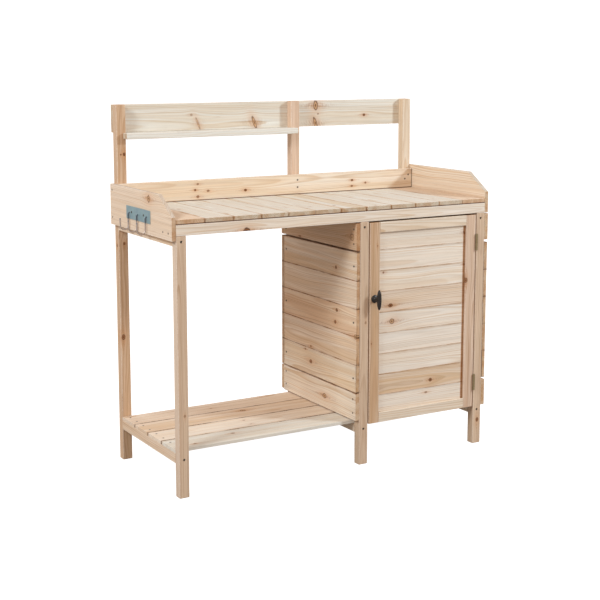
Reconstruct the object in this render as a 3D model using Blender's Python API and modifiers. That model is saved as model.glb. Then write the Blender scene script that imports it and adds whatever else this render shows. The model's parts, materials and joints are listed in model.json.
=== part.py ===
"""Potting bench: a softwood frame on six legs with a boarded worktop, a low hutch, an open
lower shelf and a cabinet with one hinged door. Metres, +Z up, front of the bench towards -Y.

Every length below is measured from the frame's left front corner at the floor, and
ORIGIN moves that corner so that the world origin is under the middle of the whole bench.
"""

import math

import bmesh
import bpy
from mathutils import Matrix, Vector

# ---------------------------------------------------------------- driving dimensions
FRAME_WIDTH = 1.172
FRAME_DEPTH = 0.482
TOTAL_HEIGHT = 1.200
LEG_WIDTH = 0.034
LEG_DEPTH = 0.030
FRONT_LEG_HEIGHT = 0.822
MIDDLE_LEG_X = 0.660
RAIL_HEIGHT = 0.034
CROSS_RAIL_HEIGHT = 0.032
CROSS_RAIL_TOP_Z = 0.820
SHELF_SLAT_TOP_Z = 0.151
SHELF_SLAT_THICKNESS = 0.012
SHELF_SLAT_COUNT = 4
SHELF_SLAT_SPACE = 0.0045

WORKTOP_THICKNESS = 0.016
WORKTOP_BOARDS = 12
WORKTOP_SEAM = 0.001
WORKTOP_WIDE_SEAM = 0.0032
WORKTOP_WIDE_SEAMS = (1, 7)

SIDE_BOARD_THICKNESS = 0.014
SIDE_BOARD_HEIGHT = 0.134
SIDE_BOARD_SLOPE = (0.098, 0.062)
LEFT_SIDE_BOARD_Z = 0.807
RIGHT_SIDE_BOARD_Z = 0.822
BACKSPLASH_THICKNESS = 0.015
BACKSPLASH_HEIGHT = 0.070

UPPER_BOARD_HEIGHT = 0.092
UPPER_BOARD_THICKNESS = 0.015
UPPER_SHELF_THICKNESS = 0.020
UPPER_SHELF_OVERLAP = 0.011
UPPER_SHELF_PROJECTION = 0.032

PANEL_THICKNESS = 0.015
PANEL_TOP_Z = 0.819
TOP_BOARD_HEIGHT = 0.0915
TONGUED_BOARDS = 5
LEFT_PANEL = {"pitch": 0.0944, "spaces": (0.0055, 0.0030), "bottom": 0.1535}
RIGHT_PANEL = {"pitch": 0.0964, "spaces": (0.0090, 0.0070), "bottom": 0.1370}
BACK_PANEL = {"pitch": 0.0944, "spaces": (0.0055, 0.0030), "bottom": 0.1570}

DOOR_SIDE_SPACE = 0.004
DOOR_Z = (0.136, 0.817)
DOOR_STILE_WIDTH = 0.040
DOOR_RAIL_WIDTH = 0.035
DOOR_FRAME_THICKNESS = 0.017
DOOR_PANEL_RECESS = 0.0065
DOOR_PANEL_LAP = 0.0125
DOOR_BOARDS = 9

HINGE_RADIUS = 0.004
HINGE_AXIS_Y = -0.0042
HINGE_HEIGHT = 0.056
HINGE_CENTRES_Z = (0.225, 0.722)
HINGE_LEAF_THICKNESS = 0.0012
HINGE_LEAF_OFFSET = 0.00035
HINGE_LEAF_DEPTH = 0.026
HINGE_PIN_RADIUS = 0.0015
HINGE_BORE_RADIUS = 0.0019
KNUCKLES = 5
KNUCKLE_SPACE = 0.00025

KNOB_Z = 0.562
KNOB_BAR_LENGTH = 0.068
KNOB_BAR_RADIUS = 0.0078
KNOB_STEM_RADIUS = 0.0045
KNOB_ROSE_RADIUS = 0.0135
KNOB_REACH = 0.027

CATCH_Z = 0.640
CATCH_SIZE = (0.014, 0.012, 0.042)
STRIKE_SIZE = (0.012, 0.001, 0.040)

HOOK_PLATE_Y = (0.156, 0.344)
HOOK_PLATE_Z = (0.8425, 0.8840)
HOOK_PLATE_THICKNESS = 0.0015
HOOK_PLATE_HOLES_Y = (0.206, 0.301)
HOOK_PLATE_HOLE_Z = 0.865
HOOK_COUNT = 3
HOOK_PITCH = 0.068
HOOK_WIRE = 0.0022
HOOK_BEND = 0.0135
HOOK_BEND_Z = 0.822
HOOK_TIP_Z = 0.846

BOLT_HOLE_RADIUS = 0.0042
BOLT_HOLE_DEPTH = 0.006
TOUCH_GAP = 0.0003
EDGE_RADIUS = 0.0012
LEG_EDGE_RADIUS = 0.0020
GROOVE_DEPTH = 0.0013
GROOVE_HALF_WIDTH = 0.0011

# ---------------------------------------------------------------- worked-out places
RIGHT_LEG_X = FRAME_WIDTH - LEG_WIDTH
LEG_XS = {"left": 0.0, "middle": MIDDLE_LEG_X, "right": RIGHT_LEG_X}
POST_Y = FRAME_DEPTH - LEG_DEPTH
RAIL_TOP_Z = FRONT_LEG_HEIGHT + RAIL_HEIGHT
WORKTOP_Z = RAIL_TOP_Z + WORKTOP_THICKNESS
CROSS_RAIL_BOTTOM_TOP_Z = SHELF_SLAT_TOP_Z - SHELF_SLAT_THICKNESS
BOLT_ZS = (
    CROSS_RAIL_TOP_Z - CROSS_RAIL_HEIGHT / 2,
    CROSS_RAIL_BOTTOM_TOP_Z - CROSS_RAIL_HEIGHT / 2,
)
DOOR_X = (MIDDLE_LEG_X + LEG_WIDTH + DOOR_SIDE_SPACE, RIGHT_LEG_X - DOOR_SIDE_SPACE)
HINGE_AXIS_X = RIGHT_LEG_X - DOOR_SIDE_SPACE / 2
KNOB_X = DOOR_X[0] + DOOR_STILE_WIDTH / 2
HOOK_STEM_X = -SIDE_BOARD_THICKNESS - HOOK_PLATE_THICKNESS - HOOK_WIRE - 0.0028
HOOK_TIP_X = HOOK_STEM_X - 2 * HOOK_BEND - 0.001

MODEL_X = (HOOK_TIP_X - HOOK_WIRE, FRAME_WIDTH + PANEL_THICKNESS)
MODEL_Y = (-KNOB_REACH - KNOB_BAR_RADIUS, FRAME_DEPTH + PANEL_THICKNESS)
ORIGIN = Vector((-sum(MODEL_X) / 2, -sum(MODEL_Y) / 2, 0.0))

# ---------------------------------------------------------------- finishes
PALE_PINE = (0.74, 0.58, 0.41)
WARM_PINE = (0.68, 0.49, 0.31)
KNOB_BLACK = (0.012, 0.011, 0.010)
HINGE_BRONZE = (0.26, 0.19, 0.11)
ZINC_BLUE = (0.26, 0.38, 0.42)
BRIGHT_WIRE = (0.62, 0.60, 0.58)
CATCH_WHITE = (0.80, 0.79, 0.76)
WOOD_ROUGHNESS = 0.62


def clear_scene():
    """Remove everything that a new file holds."""
    for item in list(bpy.data.objects):
        bpy.data.objects.remove(item, do_unlink=True)


def new_collection(name):
    """A collection linked to the scene."""
    collection = bpy.data.collections.new(name)
    bpy.context.scene.collection.children.link(collection)
    return collection


clear_scene()
BENCH = new_collection("potting_bench")
CUTTERS = new_collection("cutters")


def finish(obj, colour, roughness=WOOD_ROUGHNESS, metallic=0.0):
    """Give an object a material of its own."""
    material = bpy.data.materials.new(obj.name)
    material.use_nodes = True
    shader = material.node_tree.nodes["Principled BSDF"]
    shader.inputs["Base Color"].default_value = (*colour, 1.0)
    shader.inputs["Roughness"].default_value = roughness
    shader.inputs["Metallic"].default_value = metallic
    obj.data.materials.clear()
    obj.data.materials.append(material)
    return obj


def add_object(name, data, collection=BENCH):
    """Link new object data under the given name."""
    obj = bpy.data.objects.new(name, data)
    collection.objects.link(obj)
    return obj


def box_mesh(name, size):
    """A box of the given size about its own centre."""
    mesh = bpy.data.meshes.new(name)
    shape = bmesh.new()
    bmesh.ops.create_cube(shape, size=1.0)
    bmesh.ops.scale(shape, vec=size, verts=shape.verts)
    shape.to_mesh(mesh)
    shape.free()
    return mesh


def cylinder_mesh(name, radius, length, sides):
    """A capped cylinder along its own Z, about its own centre."""
    mesh = bpy.data.meshes.new(name)
    shape = bmesh.new()
    bmesh.ops.create_cone(
        shape, cap_ends=True, segments=sides, radius1=radius, radius2=radius, depth=length
    )
    shape.to_mesh(mesh)
    shape.free()
    return mesh


def bevel(obj, width, segments=2):
    """Round every edge of an object."""
    modifier = obj.modifiers.new("eased edges", "BEVEL")
    modifier.width = width
    modifier.segments = segments
    modifier.limit_method = "ANGLE"
    return modifier


def make_box(name, low, high, collection=BENCH):
    """A plain box between two corners."""
    low, high = Vector(low), Vector(high)
    obj = add_object(name, box_mesh(name, high - low), collection)
    obj.location = (low + high) / 2 + ORIGIN
    return obj


def make_board(name, x, y, z, colour=PALE_PINE, edge=EDGE_RADIUS):
    """A planed board with eased edges, kept half a touch gap inside its nominal box."""
    inset = TOUCH_GAP / 2
    floor_inset = 0.0 if z[0] == 0.0 else inset
    low = (x[0] + inset, y[0] + inset, z[0] + floor_inset)
    high = (x[1] - inset, y[1] - inset, z[1] - inset)
    obj = make_box(name, low, high)
    bevel(obj, edge)
    return finish(obj, colour)


def as_cutter(obj):
    """Mark an object as a cutting tool that is no part of the bench."""
    obj.hide_render = True
    obj.display_type = "WIRE"
    return obj


def combine(obj, other, operation):
    """Join another object to this one, or cut it away, with an exact Boolean."""
    modifier = obj.modifiers.new(f"{operation.lower()} {other.name}", "BOOLEAN")
    modifier.operation = operation
    modifier.solver = "EXACT"
    modifier.object = other


def tool_cylinder(name, radius, length, centre, axis, sides=20):
    """A cylinder for cutting or joining, centred on a point of the bench."""
    tool = add_object(name, cylinder_mesh(name, radius, length, sides), CUTTERS)
    turn = Vector((0.0, 0.0, 1.0)).rotation_difference(Vector(axis)).to_matrix().to_4x4()
    tool.matrix_world = Matrix.Translation(Vector(centre) + ORIGIN) @ turn
    return as_cutter(tool)


def tool_box(name, low, high):
    """A box for cutting or joining."""
    return as_cutter(make_box(name, low, high, CUTTERS))


def make_plate(name, outline, thickness, centre, axes, colour, edge=EDGE_RADIUS):
    """A flat outline given thickness. axes holds the world directions of the outline's two
    coordinates; the thickness lies along their cross product, about the given centre."""
    curve = bpy.data.curves.new(name, "CURVE")
    curve.dimensions = "2D"
    curve.fill_mode = "BOTH"
    curve.extrude = thickness / 2
    spline = curve.splines.new("POLY")
    spline.points.add(len(outline) - 1)
    for point, (across, along) in zip(spline.points, outline):
        point.co = (across, along, 0.0, 1.0)
    spline.use_cyclic_u = True
    drawn = add_object(f"{name}_outline", curve, CUTTERS)

    across_axis, along_axis = Vector(axes[0]), Vector(axes[1])
    turn = Matrix((across_axis, along_axis, across_axis.cross(along_axis))).transposed()
    drawn.matrix_world = Matrix.Translation(Vector(centre) + ORIGIN) @ turn.to_4x4()
    bpy.context.view_layer.update()
    mesh = bpy.data.meshes.new_from_object(drawn.evaluated_get(bpy.context.evaluated_depsgraph_get()))
    mesh.name = name
    shape = bmesh.new()
    shape.from_mesh(mesh)
    bmesh.ops.remove_doubles(shape, verts=shape.verts, dist=0.00001)
    bmesh.ops.recalc_face_normals(shape, faces=shape.faces)
    shape.to_mesh(mesh)
    shape.free()
    obj = add_object(name, mesh)
    obj.matrix_world = drawn.matrix_world
    bpy.data.objects.remove(drawn, do_unlink=True)
    if edge:
        bevel(obj, edge)
    return finish(obj, colour)


def grooved_outline(thickness, height, boards):
    """The end view of tongued boards seen as one solid, with a V groove at every seam on
    both faces. The first coordinate is the thickness and the second the height."""
    pitch = height / boards
    outline = [(EDGE_RADIUS, 0.0), (thickness - EDGE_RADIUS, 0.0), (thickness, EDGE_RADIUS)]
    for seam in range(1, boards):
        z = seam * pitch
        outline.append((thickness, z - GROOVE_HALF_WIDTH))
        outline.append((thickness - GROOVE_DEPTH, z))
        outline.append((thickness, z + GROOVE_HALF_WIDTH))
    outline.append((thickness, height - EDGE_RADIUS))
    outline.append((thickness - EDGE_RADIUS, height))
    outline.append((EDGE_RADIUS, height))
    outline.append((0.0, height - EDGE_RADIUS))
    for seam in range(boards - 1, 0, -1):
        z = seam * pitch
        outline.append((0.0, z + GROOVE_HALF_WIDTH))
        outline.append((GROOVE_DEPTH, z))
        outline.append((0.0, z - GROOVE_HALF_WIDTH))
    outline.append((0.0, EDGE_RADIUS))
    return outline


def make_tongued_panel(name, x, y, z, boards, run):
    """Tongued boards laid one above the other, running along X or along Y."""
    inset = TOUCH_GAP / 2
    x = (x[0] + inset, x[1] - inset)
    y = (y[0] + inset, y[1] - inset)
    z = (z[0] + inset, z[1] - inset)
    height = z[1] - z[0]
    if run == "X":
        outline = grooved_outline(y[1] - y[0], height, boards)
        centre = (sum(x) / 2, y[0], z[0])
        return make_plate(name, outline, x[1] - x[0], centre, ((0, 1, 0), (0, 0, 1)), PALE_PINE, 0.0)
    outline = grooved_outline(x[1] - x[0], height, boards)
    centre = (x[0], sum(y) / 2, z[0])
    return make_plate(name, outline, y[1] - y[0], centre, ((1, 0, 0), (0, 0, 1)), PALE_PINE, 0.0)


# ---------------------------------------------------------------- frame
def make_legs():
    """Three short front legs and three posts that run up to the hutch, with bolt holes
    sunk where the cross rails meet them."""
    for side, x in LEG_XS.items():
        centre_x = x + LEG_WIDTH / 2
        front = make_board(
            f"leg_front_{side}", (x, x + LEG_WIDTH), (0.0, LEG_DEPTH), (0.0, FRONT_LEG_HEIGHT),
            PALE_PINE, LEG_EDGE_RADIUS,
        )
        post = make_board(
            f"post_back_{side}", (x, x + LEG_WIDTH), (POST_Y, FRAME_DEPTH), (0.0, TOTAL_HEIGHT),
            PALE_PINE, LEG_EDGE_RADIUS,
        )
        for number, z in enumerate(BOLT_ZS):
            for leg, face_y in ((front, 0.0), (post, FRAME_DEPTH)):
                hole = tool_cylinder(
                    f"bolt_hole_{leg.name}_{number}", BOLT_HOLE_RADIUS, 2 * BOLT_HOLE_DEPTH,
                    (centre_x, face_y, z), (0, 1, 0),
                )
                combine(leg, hole, "DIFFERENCE")


def make_rails():
    """The long top rails and the cross rails that join front legs to posts."""
    full_width = (0.0, FRAME_WIDTH)
    rail_z = (FRONT_LEG_HEIGHT, RAIL_TOP_Z)
    make_board("rail_top_front", full_width, (0.0, LEG_DEPTH), rail_z)
    make_board("rail_top_back", full_width, (POST_Y - LEG_DEPTH, POST_Y), rail_z)
    for side, x in LEG_XS.items():
        for level, top in (("top", CROSS_RAIL_TOP_Z), ("bottom", CROSS_RAIL_BOTTOM_TOP_Z)):
            make_board(
                f"cross_rail_{level}_{side}", (x, x + LEG_WIDTH), (LEG_DEPTH, POST_Y),
                (top - CROSS_RAIL_HEIGHT, top), WARM_PINE,
            )


def make_lower_shelf():
    """Slats along the bench, laid across the bottom cross rails."""
    run = POST_Y - LEG_DEPTH
    width = (run - (SHELF_SLAT_COUNT - 1) * SHELF_SLAT_SPACE) / SHELF_SLAT_COUNT
    for number in range(SHELF_SLAT_COUNT):
        y = LEG_DEPTH + number * (width + SHELF_SLAT_SPACE)
        make_board(
            f"shelf_slat_{number + 1}", (0.0, FRAME_WIDTH), (y, y + width),
            (CROSS_RAIL_BOTTOM_TOP_Z, SHELF_SLAT_TOP_Z),
        )


# ---------------------------------------------------------------- worktop and hutch
def make_worktop():
    """Boards from front to back on the two long rails, most of them tight together."""
    pitch = FRAME_WIDTH / WORKTOP_BOARDS
    for number in range(WORKTOP_BOARDS):
        left_seam = WORKTOP_WIDE_SEAM if number in WORKTOP_WIDE_SEAMS else WORKTOP_SEAM
        right_seam = WORKTOP_WIDE_SEAM if number + 1 in WORKTOP_WIDE_SEAMS else WORKTOP_SEAM
        left = number * pitch + left_seam / 2
        right = (number + 1) * pitch - right_seam / 2
        colour = PALE_PINE if number % 3 else WARM_PINE
        make_board(
            f"worktop_board_{number + 1:02d}", (left, right), (0.0, POST_Y), (RAIL_TOP_Z, WORKTOP_Z), colour
        )


def make_side_board(name, x_centre, base_z):
    """A tray side with its front upper corner cut away on a slope."""
    run, drop = SIDE_BOARD_SLOPE
    depth = FRAME_DEPTH - TOUCH_GAP
    outline = [
        (0.0, 0.0),
        (depth, 0.0),
        (depth, SIDE_BOARD_HEIGHT),
        (run, SIDE_BOARD_HEIGHT),
        (0.0, SIDE_BOARD_HEIGHT - drop),
    ]
    thickness = SIDE_BOARD_THICKNESS - TOUCH_GAP
    centre = (x_centre, TOUCH_GAP / 2, base_z)
    make_plate(name, outline, thickness, centre, ((0, 1, 0), (0, 0, 1)), PALE_PINE)


def make_tray_edges():
    """The two side boards and the backsplash that keep soil on the worktop."""
    half = SIDE_BOARD_THICKNESS / 2
    make_side_board("side_board_left", -half, LEFT_SIDE_BOARD_Z)
    make_side_board("side_board_right", FRAME_WIDTH + half, RIGHT_SIDE_BOARD_Z)
    make_board(
        "backsplash", (0.0, FRAME_WIDTH), (POST_Y - BACKSPLASH_THICKNESS, POST_Y),
        (WORKTOP_Z, WORKTOP_Z + BACKSPLASH_HEIGHT),
    )


def make_hutch():
    """The board across the backs of the posts, and the narrow shelf that is screwed up
    into its lower edge and notched round two of the posts."""
    board_y = (FRAME_DEPTH, FRAME_DEPTH + UPPER_BOARD_THICKNESS)
    board_z = (TOTAL_HEIGHT - UPPER_BOARD_HEIGHT, TOTAL_HEIGHT)
    make_board("hutch_back_board", (0.0, FRAME_WIDTH), board_y, board_z)

    left = LEG_WIDTH - UPPER_SHELF_OVERLAP
    right = MIDDLE_LEG_X + UPPER_SHELF_OVERLAP
    front = POST_Y - UPPER_SHELF_PROJECTION
    back = board_y[1]
    inner_left = LEG_WIDTH + TOUCH_GAP
    inner_right = MIDDLE_LEG_X - TOUCH_GAP
    notch = POST_Y - TOUCH_GAP
    outline = [
        (left, front),
        (right, front),
        (right, notch),
        (inner_right, notch),
        (inner_right, back),
        (inner_left, back),
        (inner_left, notch),
        (left, notch),
    ]
    centre_z = board_z[0] - UPPER_SHELF_THICKNESS / 2 - TOUCH_GAP / 2
    make_plate(
        "hutch_shelf", outline, UPPER_SHELF_THICKNESS - TOUCH_GAP, (0.0, 0.0, centre_z),
        ((1, 0, 0), (0, 1, 0)), PALE_PINE, 0.002,
    )


# ---------------------------------------------------------------- cabinet
def make_cabinet_side(name, x, y, layout, run):
    """One cabinet wall: a top board, a space, five tongued boards, a space, a bottom board."""
    upper_space, lower_space = layout["spaces"]
    top_board_z = PANEL_TOP_Z - TOP_BOARD_HEIGHT
    panel_top = top_board_z - upper_space
    panel_bottom = panel_top - TONGUED_BOARDS * layout["pitch"]
    make_board(f"{name}_board_top", x, y, (top_board_z, PANEL_TOP_Z))
    make_tongued_panel(f"{name}_panel", x, y, (panel_bottom, panel_top), TONGUED_BOARDS, run)
    make_board(f"{name}_board_bottom", x, y, (layout["bottom"], panel_bottom - lower_space))


def make_cabinet():
    """The left, right and back walls of the cabinet, outside its legs."""
    depth = (0.0, FRAME_DEPTH)
    left_x = (MIDDLE_LEG_X - PANEL_THICKNESS, MIDDLE_LEG_X)
    right_x = (FRAME_WIDTH, FRAME_WIDTH + PANEL_THICKNESS)
    back_y = (FRAME_DEPTH, FRAME_DEPTH + PANEL_THICKNESS)
    make_cabinet_side("cabinet_left", left_x, depth, LEFT_PANEL, "Y")
    make_cabinet_side("cabinet_right", right_x, depth, RIGHT_PANEL, "Y")
    make_cabinet_side("cabinet_back", (left_x[0], right_x[1]), back_y, BACK_PANEL, "X")


# ---------------------------------------------------------------- door
def hang_on(axis_empty, obj):
    """Parent a piece to the hinge axis without moving it."""
    bpy.context.view_layer.update()
    placed = obj.matrix_world.copy()
    obj.parent = axis_empty
    obj.matrix_parent_inverse = axis_empty.matrix_world.inverted()
    obj.matrix_world = placed


def make_door_frame():
    """Two stiles and two rails, rebated at the back for a panel of tongued boards."""
    frame_y = (0.0, DOOR_FRAME_THICKNESS)
    panel_y = (DOOR_PANEL_RECESS, DOOR_FRAME_THICKNESS)
    inner_x = (DOOR_X[0] + DOOR_STILE_WIDTH, DOOR_X[1] - DOOR_STILE_WIDTH)
    inner_z = (DOOR_Z[0] + DOOR_RAIL_WIDTH, DOOR_Z[1] - DOOR_RAIL_WIDTH)
    lap = DOOR_PANEL_LAP
    panel_x = (inner_x[0] - lap, inner_x[1] + lap)
    panel_z = (inner_z[0] - lap, inner_z[1] + lap)
    frame = [
        make_board("door_stile_left", (DOOR_X[0], inner_x[0]), frame_y, DOOR_Z),
        make_board("door_stile_right", (inner_x[1], DOOR_X[1]), frame_y, DOOR_Z),
        make_board("door_rail_top", inner_x, frame_y, (inner_z[1], DOOR_Z[1])),
        make_board("door_rail_bottom", inner_x, frame_y, (DOOR_Z[0], inner_z[0])),
    ]
    around = TOUCH_GAP / 2
    rebate = tool_box(
        "door_rebate",
        (panel_x[0] - around, panel_y[0] - around, panel_z[0] - around),
        (panel_x[1] + around, panel_y[1] + 0.002, panel_z[1] + around),
    )
    for piece in frame:
        combine(piece, rebate, "DIFFERENCE")
    panel = make_tongued_panel("door_panel", panel_x, panel_y, panel_z, DOOR_BOARDS, "X")
    return frame + [panel]


def knuckle_span(centre_z, index):
    """The low and high ends of one knuckle, counted from the bottom."""
    pitch = HINGE_HEIGHT / KNUCKLES
    low = centre_z - HINGE_HEIGHT / 2 + index * pitch
    return low + KNUCKLE_SPACE / 2, low + pitch - KNUCKLE_SPACE / 2


def make_hinge_leaf(name, centre_z, side, own_knuckles):
    """A leaf in the space beside the door, with a tab and a knuckle at each of its own
    places. side is -1 for the door's leaf and +1 for the leg's leaf."""
    near = HINGE_AXIS_X + side * HINGE_LEAF_OFFSET
    far = near + side * HINGE_LEAF_THICKNESS
    leaf_x = (min(near, far), max(near, far))
    low_z = centre_z - HINGE_HEIGHT / 2
    leaf = make_box(
        name,
        (leaf_x[0], TOUCH_GAP, low_z),
        (leaf_x[1], HINGE_LEAF_DEPTH, low_z + HINGE_HEIGHT),
    )
    for index in own_knuckles:
        low, high = knuckle_span(centre_z, index)
        middle = (HINGE_AXIS_X, HINGE_AXIS_Y, (low + high) / 2)
        tab = tool_box(
            f"{name}_tab_{index}", (leaf_x[0], HINGE_AXIS_Y, low), (leaf_x[1], 2 * TOUCH_GAP, high)
        )
        combine(leaf, tab, "UNION")
        barrel = tool_cylinder(f"{name}_knuckle_{index}", HINGE_RADIUS, high - low, middle, (0, 0, 1), 24)
        combine(leaf, barrel, "UNION")
    return leaf


def make_hinge(level, centre_z):
    """A butt hinge: the leg's leaf carries the pin, and the door's leaf turns on it."""
    leg_leaf = make_hinge_leaf(f"hinge_{level}_leg_leaf", centre_z, 1, range(0, KNUCKLES, 2))
    pin = tool_cylinder(
        f"hinge_{level}_pin", HINGE_PIN_RADIUS, HINGE_HEIGHT + 0.003,
        (HINGE_AXIS_X, HINGE_AXIS_Y, centre_z), (0, 0, 1), 16,
    )
    combine(leg_leaf, pin, "UNION")
    finish(leg_leaf, HINGE_BRONZE, 0.38, 1.0)

    door_leaf = make_hinge_leaf(f"hinge_{level}_door_leaf", centre_z, -1, range(1, KNUCKLES, 2))
    bore = tool_cylinder(
        f"hinge_{level}_bore", HINGE_BORE_RADIUS, HINGE_HEIGHT,
        (HINGE_AXIS_X, HINGE_AXIS_Y, centre_z), (0, 0, 1), 16,
    )
    combine(door_leaf, bore, "DIFFERENCE")
    return finish(door_leaf, HINGE_BRONZE, 0.38, 1.0)


def make_turned(name, profile, centre, axis, collection, steps=24):
    """A solid of revolution. profile holds (radius, height) pairs from its top to its
    bottom, starting and ending on the axis."""
    mesh = bpy.data.meshes.new(name)
    shape = bmesh.new()
    corners = [shape.verts.new((radius, 0.0, height)) for radius, height in profile]
    for first, second in zip(corners, corners[1:]):
        shape.edges.new((first, second))
    shape.to_mesh(mesh)
    shape.free()
    obj = add_object(name, mesh, collection)
    turn = Vector((0.0, 0.0, 1.0)).rotation_difference(Vector(axis)).to_matrix().to_4x4()
    obj.matrix_world = Matrix.Translation(Vector(centre) + ORIGIN) @ turn
    screw = obj.modifiers.new("turn", "SCREW")
    screw.axis = "Z"
    screw.steps = steps
    screw.render_steps = steps
    screw.use_merge_vertices = True
    screw.merge_threshold = 0.00001
    screw.use_smooth_shade = True
    return obj


def make_knob():
    """A round rose and stem that carry an upright bar, fatter at its middle."""
    rings = 9
    half = KNOB_BAR_LENGTH / 2
    bar_profile = [(0.0, half)]
    for ring in range(1, rings):
        height = half * math.cos(math.pi * ring / rings)
        radius = KNOB_BAR_RADIUS * (1.0 - abs(height / half) ** 2.4) ** 0.55
        bar_profile.append((radius, height))
    bar_profile.append((0.0, -half))
    knob = make_turned(
        "door_knob", bar_profile, (KNOB_X, -KNOB_REACH, KNOB_Z), (0, 0, 1), BENCH
    )

    stem_profile = [
        (0.0, KNOB_REACH),
        (KNOB_STEM_RADIUS * 1.35, KNOB_REACH),
        (KNOB_STEM_RADIUS, KNOB_REACH * 0.70),
        (KNOB_STEM_RADIUS, KNOB_REACH * 0.34),
        (KNOB_STEM_RADIUS * 1.6, KNOB_REACH * 0.20),
        (KNOB_ROSE_RADIUS * 0.85, KNOB_REACH * 0.13),
        (KNOB_ROSE_RADIUS, KNOB_REACH * 0.05),
        (KNOB_ROSE_RADIUS, TOUCH_GAP),
        (0.0, TOUCH_GAP),
    ]
    stem = make_turned("knob_stem", stem_profile, (KNOB_X, 0.0, KNOB_Z), (0, -1, 0), CUTTERS)
    combine(knob, as_cutter(stem), "UNION")
    return finish(knob, KNOB_BLACK, 0.42, 0.6)


def make_catch():
    """A magnet on the middle leg and the plate behind the door's stile that it holds."""
    leg_face = MIDDLE_LEG_X + LEG_WIDTH
    strike_x = DOOR_X[0] + 0.0015
    strike_y = DOOR_FRAME_THICKNESS + TOUCH_GAP / 2
    strike_z = CATCH_Z - STRIKE_SIZE[2] / 2
    strike = make_box(
        "catch_strike_plate",
        (strike_x, strike_y, strike_z),
        (strike_x + STRIKE_SIZE[0], strike_y + STRIKE_SIZE[1], strike_z + STRIKE_SIZE[2]),
    )
    bevel(strike, 0.0003)

    catch_y = strike_y + STRIKE_SIZE[1] + TOUCH_GAP
    catch_z = CATCH_Z - CATCH_SIZE[2] / 2
    catch = make_box(
        "catch_magnet",
        (leg_face + TOUCH_GAP, catch_y, catch_z),
        (leg_face + CATCH_SIZE[0], catch_y + CATCH_SIZE[1], catch_z + CATCH_SIZE[2]),
    )
    foot = tool_box(
        "catch_foot",
        (leg_face + TOUCH_GAP, catch_y + 0.002, catch_z - 0.008),
        (leg_face + 0.0025, catch_y + CATCH_SIZE[1] - 0.002, catch_z + CATCH_SIZE[2] + 0.008),
    )
    combine(catch, foot, "UNION")
    bevel(catch, 0.0004, 1)
    finish(catch, CATCH_WHITE, 0.5)
    return finish(strike, BRIGHT_WIRE, 0.35, 1.0)


def make_door():
    """The door and everything that swings with it."""
    axis = bpy.data.objects.new("door_hinge_axis", None)
    BENCH.objects.link(axis)
    axis.location = Vector((HINGE_AXIS_X, HINGE_AXIS_Y, sum(DOOR_Z) / 2)) + ORIGIN
    pieces = make_door_frame()
    for level, centre_z in zip(("lower", "upper"), HINGE_CENTRES_Z):
        pieces.append(make_hinge(level, centre_z))
    pieces.append(make_knob())
    pieces.append(make_catch())
    for piece in pieces:
        hang_on(axis, piece)


# ---------------------------------------------------------------- hook rack
def hook_route():
    """The line of one hook across the bench: off the plate, down, round and up."""
    plate_x = -SIDE_BOARD_THICKNESS - HOOK_PLATE_THICKNESS
    top_z = HOOK_TIP_Z + 0.016
    route = [(plate_x - TOUCH_GAP, top_z), (HOOK_STEM_X + HOOK_WIRE, top_z)]
    route.append((HOOK_STEM_X + HOOK_WIRE * 0.3, top_z - HOOK_WIRE * 0.3))
    route.append((HOOK_STEM_X, top_z - HOOK_WIRE))
    steps = 10
    for step in range(steps + 1):
        angle = math.pi * step / steps
        x = HOOK_STEM_X - HOOK_BEND + HOOK_BEND * math.cos(angle)
        route.append((x, HOOK_BEND_Z - HOOK_BEND * math.sin(angle)))
    route.append((HOOK_TIP_X, HOOK_TIP_Z))
    return route


def make_hook(number):
    """A round wire hook on the plate."""
    y = sum(HOOK_PLATE_Y) / 2 + (number - (HOOK_COUNT - 1) / 2) * HOOK_PITCH
    curve = bpy.data.curves.new(f"hook_{number + 1}", "CURVE")
    curve.dimensions = "3D"
    curve.bevel_depth = HOOK_WIRE
    curve.bevel_resolution = 2
    curve.use_fill_caps = True
    spline = curve.splines.new("POLY")
    route = hook_route()
    spline.points.add(len(route) - 1)
    for point, (x, z) in zip(spline.points, route):
        point.co = (*(Vector((x, y, z)) + ORIGIN), 1.0)
    spline.use_smooth = True
    finish(add_object(f"hook_{number + 1}", curve), BRIGHT_WIRE, 0.25, 1.0)


def make_hook_rack():
    """A zinc-blue plate on the left side board, with two screw holes and three hooks."""
    outer = -SIDE_BOARD_THICKNESS
    plate = make_box(
        "hook_plate",
        (outer - HOOK_PLATE_THICKNESS, HOOK_PLATE_Y[0], HOOK_PLATE_Z[0]),
        (outer - TOUCH_GAP / 2, HOOK_PLATE_Y[1], HOOK_PLATE_Z[1]),
    )
    bevel(plate, 0.0003)
    for number, y in enumerate(HOOK_PLATE_HOLES_Y):
        hole = tool_cylinder(f"plate_hole_{number}", 0.0022, 0.01, (outer, y, HOOK_PLATE_HOLE_Z), (1, 0, 0))
        combine(plate, hole, "DIFFERENCE")
    finish(plate, ZINC_BLUE, 0.35, 0.5)
    for number in range(HOOK_COUNT):
        make_hook(number)


make_legs()
make_rails()
make_lower_shelf()
make_worktop()
make_tray_edges()
make_hutch()
make_cabinet()
make_door()
make_hook_rack()
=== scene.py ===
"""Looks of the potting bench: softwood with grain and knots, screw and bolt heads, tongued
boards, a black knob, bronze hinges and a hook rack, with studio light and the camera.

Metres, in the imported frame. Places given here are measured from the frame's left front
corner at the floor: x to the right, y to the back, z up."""

import json
import math
import random

import bmesh
import bpy
from mathutils import Matrix, Vector

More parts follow.
